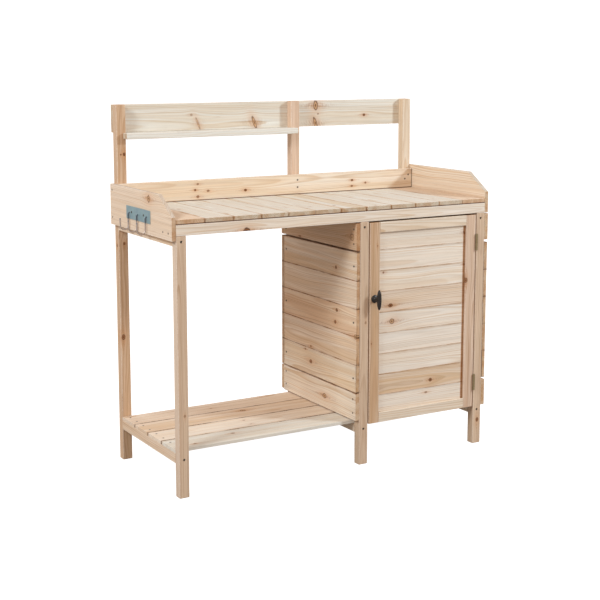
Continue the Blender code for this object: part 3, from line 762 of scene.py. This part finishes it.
def screw_places(node, outward, columns, rows):
    """Places on one face of a node, at every crossing of columns and rows."""
    low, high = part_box(node)
    face = (high if outward[0] == "+" else low)[AXES[outward[1]]]
    return [on_face(outward[1], face, a, b) for a in columns for b in rows]


def odd_board_middles(panel):
    """The heights of the middles of a panel's tongued boards 1, 3, 5 and so on."""
    low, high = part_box(panel)
    pitch = (high.z - low.z) / TONGUED_BOARDS[panel]
    return [low.z + (number + 0.5) * pitch for number in range(0, TONGUED_BOARDS[panel], 2)]


def place_screws():
    """Every visible flat screw: {node: (outward side, places)}."""
    found = {}

    def add(node, outward, columns, rows):
        found.setdefault(node, (outward, []))[1].extend(screw_places(node, outward, columns, rows))

    for wall, outward in (("left", "-X"), ("right", "+X"), ("back", "+Y")):
        top, panel, bottom = (f"cabinet_{wall}_{part}" for part in ("board_top", "panel", "board_bottom"))
        columns = LEG_MIDDLES[1:] if wall == "back" else inset(panel, "Y", WALL_COLUMNS)
        add(top, outward, columns, inset(top, "Z", WALL_TOP_ROWS))
        add(panel, outward, columns, odd_board_middles(panel))
        add(bottom, outward, columns, inset(bottom, "Z", WALL_BOTTOM_ROWS))
    for node, outward in (("side_board_left", "-X"), ("side_board_right", "+X")):
        for columns, rows in (SIDE_FRONT, SIDE_BACK):
            add(node, outward, inset(node, "Y", columns), inset(node, "Z", rows))
    splash, hutch, door = "backsplash", "hutch_back_board", "door_panel"
    add(splash, "-Y", LEG_MIDDLES[:2], inset(splash, "Z", SPLASH_ROWS))
    for aside, height in SPLASH_ODD:
        add(splash, "-Y", [LEG_MIDDLES[2] + aside], inset(splash, "Z", [height]))
    add(hutch, "+Y", LEG_MIDDLES, inset(hutch, "Z", HUTCH_ROWS))
    for number in range(1, 5):
        slat = f"shelf_slat_{number}"
        left, right = inset(slat, "X", SLAT_COLUMNS)
        rows = [middle_of(slat, "Y") + aside for aside in SLAT_ROWS]
        add(slat, "+Z", [left, LEG_MIDDLES[1], right], rows)
    add(door, "+Y", inset(door, "X", DOOR_COLUMNS), odd_board_middles(door))
    return found


SCREWS = place_screws()


def make_screws():
    """One piece of screw heads for each board that has them."""
    for node, (outward, places) in SCREWS.items():
        gather(node, "screws", FLAT_SCREW, places, outward, DARK_ZINC)


def make_bolts():
    """Bolt heads in the holes of the front legs and of the posts."""
    heights = [middle_of(f"cross_rail_{level}_left", "Z") for level in ("top", "bottom")]
    for kind, outward in (("leg_front", "-Y"), ("post_back", "+Y")):
        for side in ("left", "middle", "right"):
            node = f"{kind}_{side}"
            places = screw_places(node, outward, [middle_of(node, "X")], heights)
            gather(node, "bolts", BOLT, places, outward, DARK_ZINC)


# The rack's screws: how far behind the plate's middle, how far apart and how far up.
RACK_SHIFT = 0.0035
RACK_SPREAD = 0.0475
RACK_RISE = 0.0225
# The hinge screws: how far inside the leaf's face, in from its back edge, and up and down.
LEAF_THICK = 0.0012
LEAF_INSET = 0.011
LEAF_SPREAD = 0.019


def make_rack_screws():
    """The two round heads that hold the hook plate."""
    node = "hook_plate"
    middle = middle_of(node, "Y") + RACK_SHIFT
    columns = [middle - RACK_SPREAD, middle + RACK_SPREAD]
    places = screw_places(node, "-X", columns, inset(node, "Z", [RACK_RISE]))
    gather(node, "screws", PAN_SCREW, places, "-X", DARK_ZINC)


def make_hinge_screws():
    """Two flat heads in each hinge leaf, seen when the door is open."""
    for level in ("lower", "upper"):
        for leaf, outward in (("leg_leaf", "-X"), ("door_leaf", "+X")):
            node = f"hinge_{level}_{leaf}"
            low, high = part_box(node)
            face = (high.x - LEAF_THICK) if outward == "-X" else (low.x + LEAF_THICK)
            places = [Vector((face, high.y - LEAF_INSET, middle_of(node, "Z") + rise))
                      for rise in (-LEAF_SPREAD, LEAF_SPREAD)]
            gather(node, "screws", FLAT_SCREW, places, outward, BRONZE)


# ---------- tongued boards
TONGUE = 0.004
TONGUE_RISE = 0.005
SLOT_PLAY = 0.0002
SLOT_SPARE = 0.0005
SEAM = 0.0003
SHOULDER = 0.0014
ARC_STEPS = 3
UNEVEN_FACE = 0.0003
UNEVEN_END = 0.0004
KNOT_OVERLAP = 0.01


def rounded(corner, before, after, radius):
    """Points of a quarter round at a corner, between the two directions that lead from it."""
    before, after = Vector(before), Vector(after)
    middle = Vector(corner) + radius * (before + after)
    turns = [math.pi / 2 * step / ARC_STEPS for step in range(ARC_STEPS + 1)]
    return [middle - radius * (math.sin(turn) * before + math.cos(turn) * after) for turn in turns]


def tongued_outline(thick, high, tongue, groove):
    """End view of a board: thickness across, height up, a tongue above and a groove below."""
    right, left, up, down = (1, 0), (-1, 0), (0, 1), (0, -1)
    outline = rounded((0, 0), right, up, SHOULDER)
    middle = thick / 2
    if groove:
        slot = TONGUE / 2 + SLOT_PLAY
        depth = TONGUE_RISE + SLOT_SPARE
        outline += [(middle - slot, 0), (middle - slot, depth), (middle + slot, depth), (middle + slot, 0)]
    outline += rounded((thick, 0), up, left, SHOULDER)
    outline += rounded((thick, high), left, down, SHOULDER)
    if tongue:
        outer, inner, tip = middle + TONGUE / 2, middle - TONGUE / 2, high + TONGUE_RISE
        outline += [(outer, high), (outer, tip), (inner, tip), (inner, high)]
    outline += rounded((0, high), down, right, SHOULDER)
    return outline


def tongued_board(name, low, high, run, tongue, groove):
    """A board that runs along X or Y between two corners."""
    run_axis, thick_axis = AXES[run], 1 - AXES[run]
    size = high - low
    shape = bmesh.new()
    corners = [on_face(run, low[run_axis], low[thick_axis] + across, low.z + up)
               for across, up in tongued_outline(size[thick_axis], size.z, tongue, groove)]
    face = shape.faces.new([shape.verts.new(corner) for corner in corners])
    grown = bmesh.ops.extrude_face_region(shape, geom=[face])
    moved = [item for item in grown["geom"] if isinstance(item, bmesh.types.BMVert)]
    bmesh.ops.translate(shape, vec=on_face(run, size[run_axis], 0, 0), verts=moved)
    ends = [face for face in shape.faces if len(face.verts) > 4]
    bmesh.ops.triangulate(shape, faces=ends, ngon_method="EAR_CLIP")
    return link(name, close_up(shape, name))


def make_tongued_panel(node, count):
    """Real tongued boards in place of one grooved panel."""
    low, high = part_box(node)
    run = longest_match(node, GRAIN_AXIS) or "X"
    run_axis, thick_axis = AXES[run], 1 - AXES[run]
    pitch = (high.z - low.z) / count
    dice = random.Random(node)
    for number in range(count):
        first, last = number == 0, number == count - 1
        lowest, highest = low.copy(), high.copy()
        lowest.z = low.z + number * pitch + (0.0 if first else SEAM / 2)
        highest.z = low.z + (number + 1) * pitch - (0.0 if last else SEAM / 2)
        for axis, uneven in ((thick_axis, UNEVEN_FACE), (run_axis, UNEVEN_END)):
            lowest[axis] += dice.uniform(0.0, uneven)
            highest[axis] -= dice.uniform(0.0, uneven)
        name = f"{node}_tongued_{number + 1}"
        board = tongued_board(name, lowest, highest, run, not last, not first)
        screws = [s for s in SCREWS[node][1] if lowest.z < s.z < highest.z]
        knots = [k for k in KNOTS.get(node, [])
                 if lowest.z - KNOT_OVERLAP < k[0].z < highest.z + KNOT_OVERLAP]
        tone, warmth = TONGUED_TONES[node][number]
        dress(board, timber(name, lowest, highest, run, tone, warmth, knots, screws))
        settle(board, NODES[node]["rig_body"])
        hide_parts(node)


# ---------- knob and hooks
BAR_RADIUS = 0.0078
WAIST_RADIUS = 0.0043
# The stem's and the rose's outlines from the bar to the door: a share of the waist's or the
# rose's radius, and a share of the way from the door to the bar's middle.
STEM_OUTLINE = ((1.45, 1.0), (1.3, 0.86), (1.08, 0.74), (1.0, 0.6), (1.0, 0.42), (1.15, 0.31),
                (1.6, 0.22))
ROSE_OUTLINE = ((0.62, 0.165), (0.84, 0.135), (0.95, 0.095), (1.0, 0.05), (1.0, 0.0))


def knob_bar(half, rings=36):
    """An upright spindle, round in plan and fullest at its middle."""
    profile = [(0.0, half)]
    for ring in range(1, rings):
        height = half * math.cos(math.pi * ring / rings)
        share = abs(height / half)
        profile.append((BAR_RADIUS * (1.0 - share ** 2.4) ** 0.55, height))
    return lathe(profile + [(0.0, -half)], 48)


def make_knob():
    """A turned rose and stem that carry an upright spindle bar."""
    low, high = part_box("door_knob")
    middle = (low + high) / 2
    rose_radius = (high.x - low.x) / 2
    reach = high.y - low.y - BAR_RADIUS
    bar = knob_bar((high.z - low.z) / 2)
    bar.transform(Matrix.Translation((middle.x, low.y + BAR_RADIUS, middle.z)))
    outline = [(0.0, reach)]
    outline += [(WAIST_RADIUS * wide, reach * out) for wide, out in STEM_OUTLINE]
    outline += [(rose_radius * wide, reach * out) for wide, out in ROSE_OUTLINE]
    stem = lathe(outline + [(0.0, 0.0)], 48)
    stem.transform(facing(Vector((middle.x, high.y, middle.z)), "-Y"))
    mesh = boolean(bar, [stem], "UNION")
    knob = settle(dress(link("knob_turned", mesh, 40.0), BLACK), "door")
    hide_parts("door_knob")


HOOK_STEM_INSET = 0.0047
HOOK_TURN_IN = 0.0042
HOOK_TIP_DROP = 0.016
HOOK_OPENS = 0.001
# The wire's rounded end: how far below the tip, and the share of its thickness there.
HOOK_TIP = ((0.002, 1.0), (0.0006, 0.86), (0.0, 0.45))


def hook_route(low, high, wire):
    """The line of one hook as (x, z, share of the wire's thickness), from the plate on."""
    stem_x, tip_x = high.x - HOOK_STEM_INSET, low.x + wire
    bend = (stem_x - tip_x - HOOK_OPENS) / 2
    bend_z, top_z = low.z + wire + bend, high.z - wire
    route = [(high.x, top_z, 1.0)]
    for step in range(7):
        turn = math.pi / 2 * step / 6
        in_x, down_z = 1 - math.sin(turn), 1 - math.cos(turn)
        route.append((stem_x + HOOK_TURN_IN * in_x, top_z - HOOK_TURN_IN * down_z, 1.0))
    for step in range(25):
        turn = math.pi * step / 24
        route.append((stem_x - bend + bend * math.cos(turn), bend_z - bend * math.sin(turn), 1.0))
    tip_z = top_z - HOOK_TIP_DROP
    return route + [(tip_x, tip_z - below, share) for below, share in HOOK_TIP]


def make_hooks():
    """Round wire hooks with smooth bends and rounded tips."""
    finish = wire_finish()
    for number in range(1, 4):
        low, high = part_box(f"hook_{number}")
        wire = (high.y - low.y) / 2
        route = hook_route(low, high, wire)
        curve = bpy.data.curves.new(f"hook_wire_{number}", "CURVE")
        curve.dimensions = "3D"
        curve.bevel_depth = wire
        curve.bevel_resolution = 6
        curve.use_fill_caps = True
        spline = curve.splines.new("POLY")
        spline.points.add(len(route) - 1)
        for point, (x, z, share) in zip(spline.points, route):
            point.co = (x, (low.y + high.y) / 2, z, 1.0)
            point.radius = share
        spline.use_smooth = True
        hook = dress(new_object(f"hook_wire_{number}", curve), finish)
        settle(hook, "bench")
        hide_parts(f"hook_{number}")


# ---------- what each board shows
def knots_on(branch, face, *spots):
    """Knots on the face of a board at that place along the axis their branches ran along. A
    spot holds its two other coordinates and radius, then darkness, stretch and lean if they
    differ from 1, by chance and 0. Stretch is a knot's length along the grain by its width,
    under 1 for a spike, and lean slants a spike."""
    found = []
    for first, second, radius, *given in spots:
        dark, stretch, lean = given + [1.0, None, 0.0][len(given):]
        place = CORNER + on_face(branch, face, first, second)
        found.append((place, radius, branch, dark, stretch, lean))
    return found


KNOTS = {
    "leg_front_right": knots_on("Y", 0.0, (1.157, 0.085, 0.005, 0.8)),
    "post_back_left": (
        knots_on("Y", 0.452, (0.014, 1.037, 0.0022), (0.026, 1.038, 0.0042), (0.02, 0.742, 0.004, 0.7))
        + knots_on("X", 0.0, (0.466, 0.735, 0.0035, 0.8))
        + knots_on("Y", 0.452, (0.01, 0.425, 0.006, 0.8))
    ),
    "rail_top_front": knots_on("Y", 0.0, (0.24, 0.822, 0.01)),
    "backsplash": knots_on(
        "Y", 0.437, (0.275, 0.908, 0.0034), (0.285, 0.928, 0.003, 0.7), (0.285, 0.885, 0.0046, 0.7),
        (0.324, 0.903, 0.0036, 0.7), (0.468, 0.898, 0.0042), (0.906, 0.911, 0.0036),
        (0.905, 0.89, 0.0032, 0.8), (0.964, 0.899, 0.0032, 0.8)),
    "hutch_back_board": knots_on(
        "Y", 0.482, (0.778, 1.182, 0.0165, 0.85, 0.5, 0.05),
        (0.777, 1.119, 0.019, 0.85, 0.33, -0.3), (0.788, 1.152, 0.003, 0.5),
        (0.985, 1.144, 0.0042), (0.31, 1.131, 0.018, 0.55, 0.2, -0.4),
        (0.286, 1.16, 0.004, 0.4), (0.528, 1.128, 0.02, 0.8, 0.28, -0.35)),
    "side_board_left": knots_on("X", -0.014, (0.168, 0.921, 0.01, 0.8, 0.9)),
    "shelf_slat_3": knots_on("Z", 0.151, (0.387, 0.315, 0.0085, 0.8)),
    "shelf_slat_2": knots_on("Z", 0.151, (0.335, 0.209, 0.004, 0.5), (0.335, 0.158, 0.003, 0.5)),
    "shelf_slat_1": knots_on("Z", 0.151, (0.235, 0.095, 0.005, 0.5), (0.08, 0.055, 0.0035, 0.7)),
    "worktop_board_02": knots_on("Z", 0.872, (0.125, 0.245, 0.006, 0.35)),
    "worktop_board_03": knots_on("Z", 0.872, (0.205, 0.065, 0.0035, 0.4)),
    "door_stile_right": knots_on("Y", 0.0, (1.096, 0.591, 0.0058, 0.8)),
    "door_panel": knots_on(
        "Y", 0.0065, (0.787, 0.532, 0.0058), (0.793, 0.477, 0.0085, 0.85),
        (0.956, 0.254, 0.0055, 0.9), (0.938, 0.212, 0.0035, 0.5), (0.757, 0.646, 0.003, 0.7),
        (1.092, 0.646, 0.003, 0.7), (1.09, 0.757, 0.006, 0.6, 0.7, -0.3)),
    "cabinet_left_board_top": knots_on(
        "X", 0.645, (0.028, 0.77, 0.011, 0.55), (0.367, 0.733, 0.003, 0.7, 2.8)),
    "cabinet_left_panel": knots_on(
        "X", 0.645, (0.129, 0.656, 0.005, 0.7), (0.123, 0.51, 0.005, 0.8),
        (0.132, 0.468, 0.0055, 0.8), (0.293, 0.352, 0.004, 0.6), (0.293, 0.297, 0.0065, 0.7),
        (0.005, 0.44, 0.007, 0.7), (0.33, 0.335, 0.003, 0.6)),
    "cabinet_left_board_bottom": knots_on("X", 0.645, (0.198, 0.195, 0.0075, 0.8)),
}

# The left wall's boards go warmer towards the top: their own colour, and in part painted shade from the
# worktop above.
TONGUED_TONES = {
    "cabinet_left_panel": [("cream", 0.7), ("sand", 0.7), ("orange", 0.5), ("sand", 0.6), ("sand", 0.9)],
    "cabinet_right_panel": [("cream", 0.6), ("sand", 0.4), ("cream", 0.4), ("pale", 0.5), ("cream", 0.6)],
    "cabinet_back_panel": [("pale", 0.5), ("cream", 0.6), ("sand", 0.4), ("pale", 0.5), ("cream", 0.4)],
    "door_panel": [
        ("pale", 0.2), ("sand", 0.9), ("pale", 0.3), ("pale", 0.1), ("pale", 0.3),
        ("sand", 0.6), ("pale", 0.5), ("pale", 0.2), ("pale", 0.3),
    ],
}

# The way the grain runs in a node, where it isn't X.
GRAIN_AXIS = {
    "leg_front": "Z", "post_back": "Z", "door_stile": "Z", "cross_rail": "Y", "worktop_board": "Y",
    "side_board": "Y", "cabinet_left": "Y", "cabinet_right": "Y",
}

# cabinet_left_board_top and post_back_left take the darker tan tone partly as painted shade, for the shade
# they lie in.
BOARD_TONES = {
    "leg_front": ("pink", 0.35), "post_back": ("cream", 0.5), "post_back_left": ("tan", 0.5),
    "post_back_middle": ("blush", 0.3),
    "cross_rail": ("sand", 0.6), "rail_top": ("pale", 0.3), "worktop_board": ("stone", 0.3),
    "side_board": ("cream", 0.5), "side_board_left": ("sand", 0.3), "shelf_slat": ("pale", 0.4),
    "shelf_slat_1": ("stone", 0.4), "shelf_slat_3": ("sand", 0.7), "shelf_slat_4": ("sand", 0.2),
    "backsplash": ("cream", 0.5), "hutch": ("stone", 0.6), "hutch_shelf": ("stone", 0.0),
    "cabinet": ("cream", 0.5), "cabinet_left_board_top": ("tan", 0.6),
    "cabinet_left_board_bottom": ("cream", 0.3), "door_stile_left": ("tan", 0.8),
    "door_stile_right": ("blush", 0.5), "door_rail": ("cream", 0.4),
    "worktop_board_01": ("sand", 0.3), "worktop_board_05": ("stone", 0.7),
    "worktop_board_07": ("stone", 0.8), "worktop_board_12": ("sand", 0.3),
}

METALS = {
    "hinge": BRONZE, "hook_plate": FILM_BLUE, "hook_": ZINC, "catch_magnet": MATTE_WHITE,
    "catch_strike_plate": ZINC, "door_knob": BLACK,
}


def chance_knots(node, grain):
    """Up to two small knots on a board that has none listed."""
    low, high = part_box(node)
    size = high - low
    dice = random.Random(f"knots of {node}")
    along = AXES[grain]
    across, through = wide_and_thin(size, along)
    margin = 0.2 * size[across]
    found = []
    for _ in range(dice.choice((0, 1, 1, 2))):
        spot = (low + high) / 2
        spot[along] = dice.uniform(low[along], high[along])
        spot[across] = dice.uniform(low[across] + margin, high[across] - margin)
        radius, dark = dice.uniform(0.002, 0.0042), dice.uniform(0.3, 0.6)
        found.append((spot, radius, "XYZ"[through], dark, None, 0.0))
    return found


def dress_nodes():
    """A material of its own for every board, and a shared one for each metal."""
    for node, obj in NODES.items():
        metal = longest_match(node, METALS)
        if metal:
            dress(obj, metal)
        elif node not in TONGUED_BOARDS:
            low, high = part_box(node)
            grain = longest_match(node, GRAIN_AXIS) or "X"
            tone, warmth = longest_match(node, BOARD_TONES)
            screws = SCREWS[node][1] if node in SCREWS else ()
            knots = KNOTS.get(node) or chance_knots(node, grain)
            dress(obj, timber(node, low, high, grain, tone, warmth, knots, screws))


# ---------- studio
FLOOR_RADIUS = 40.0
FLOOR_DROP = 0.0002
FLOOR_GREY = 0.36
FLOOR_GLOW = 1.0
AMBIENT = 0.53
AMBIENT_COLOUR = (1.16, 0.93, 0.8, 1.0)
SEEN_WHITE = 1.15
WHITE = (1.0, 1.0, 1.0, 1.0)
# Each softbox's azimuth and elevation in degrees, its size, power and colour.
SOFTBOXES = {
    "key": (49, 28.5, 0.5, 94.0, (0.84, 1.0, 1.12)),
    "left": (-71, 33, 1.1, 93.0, (0.92, 1.01, 1.07)),
    "back": (192, 10, 1.6, 34.0, (0.95, 1.0, 1.03)),
}
LIGHT_AIM = Vector((0.0, 0.0, 0.6))
LIGHT_DISTANCE = 4.5
CAMERA_AIM = Vector((0.0064, 0.0139, 0.6978))
CAMERA_TURN = (-30.345, 8.777)
CAMERA_DISTANCE = 4.3413
CAMERA_LENS = 76.51
CAMERA_SHIFT = -0.08


def look_in(obj, aim, azimuth, elevation, distance):
    """Place an object so that it looks at a point. Azimuth 0 is in front, 90 on the right."""
    turn, rise = math.radians(azimuth), math.radians(elevation)
    level = math.cos(rise)
    away = Vector((math.sin(turn) * level, -math.cos(turn) * level, math.sin(rise)))
    obj.location = aim + away * distance
    obj.rotation_mode = "QUATERNION"
    obj.rotation_quaternion = (-away).to_track_quat("-Z", "Y")


def make_floor():
    """A wide pale floor that runs out to the white surroundings."""
    shape = bmesh.new()
    bmesh.ops.create_circle(shape, cap_ends=True, segments=96, radius=FLOOR_RADIUS)
    floor = link("studio_floor", as_mesh(shape, "studio_floor"))
    floor.location.z = -FLOOR_DROP
    material, g, shader = new_material("studio_floor")
    g.feed(shader["Base Color"], (FLOOR_GREY, FLOOR_GREY, FLOOR_GREY, 1.0))
    g.feed(shader["Roughness"], 0.9)
    g.feed(shader["Emission Color"], WHITE)
    seen = g.add("ShaderNodeLightPath").outputs["Is Camera Ray"]
    g.feed(shader["Emission Strength"], g.smooth(seen, 0.0, 1.0, 0.0, FLOOR_GLOW))
    dress(floor, material)


def make_surroundings():
    """Surroundings that look white and add a soft, slightly warm light from all sides."""
    world = bpy.data.worlds.new("studio")
    world.use_nodes = True
    bpy.context.scene.world = world
    g = Graph(world.node_tree)
    background = world.node_tree.nodes["Background"]
    seen = g.add("ShaderNodeLightPath").outputs["Is Camera Ray"]
    g.feed(background.inputs["Color"], g.mix(seen, AMBIENT_COLOUR, WHITE))
    g.feed(background.inputs["Strength"], g.smooth(seen, 0.0, 1.0, AMBIENT, SEEN_WHITE))


def make_softboxes():
    """Square area lights that look at the bench."""
    for name, (azimuth, elevation, size, power, colour) in SOFTBOXES.items():
        light = bpy.data.lights.new(name, "AREA")
        light.shape = "SQUARE"
        light.size = size
        light.energy = power
        light.color = colour
        look_in(new_object(name, light), LIGHT_AIM, azimuth, elevation, LIGHT_DISTANCE)


def make_camera():
    """A long lens from the left front, a little above the bench."""
    camera = bpy.data.cameras.new("camera")
    camera.lens = CAMERA_LENS
    camera.shift_y = CAMERA_SHIFT
    obj = new_object("camera", camera)
    look_in(obj, CAMERA_AIM, *CAMERA_TURN, CAMERA_DISTANCE)
    bpy.context.scene.camera = obj


make_camera()
dress_nodes()
for panel, count in TONGUED_BOARDS.items():
    make_tongued_panel(panel, count)
make_screws()
make_bolts()
make_rack_screws()
make_hinge_screws()
make_knob()
make_hooks()
make_floor()
make_surroundings()
make_softboxes()
bpy.context.scene.view_settings.view_transform = "Standard"
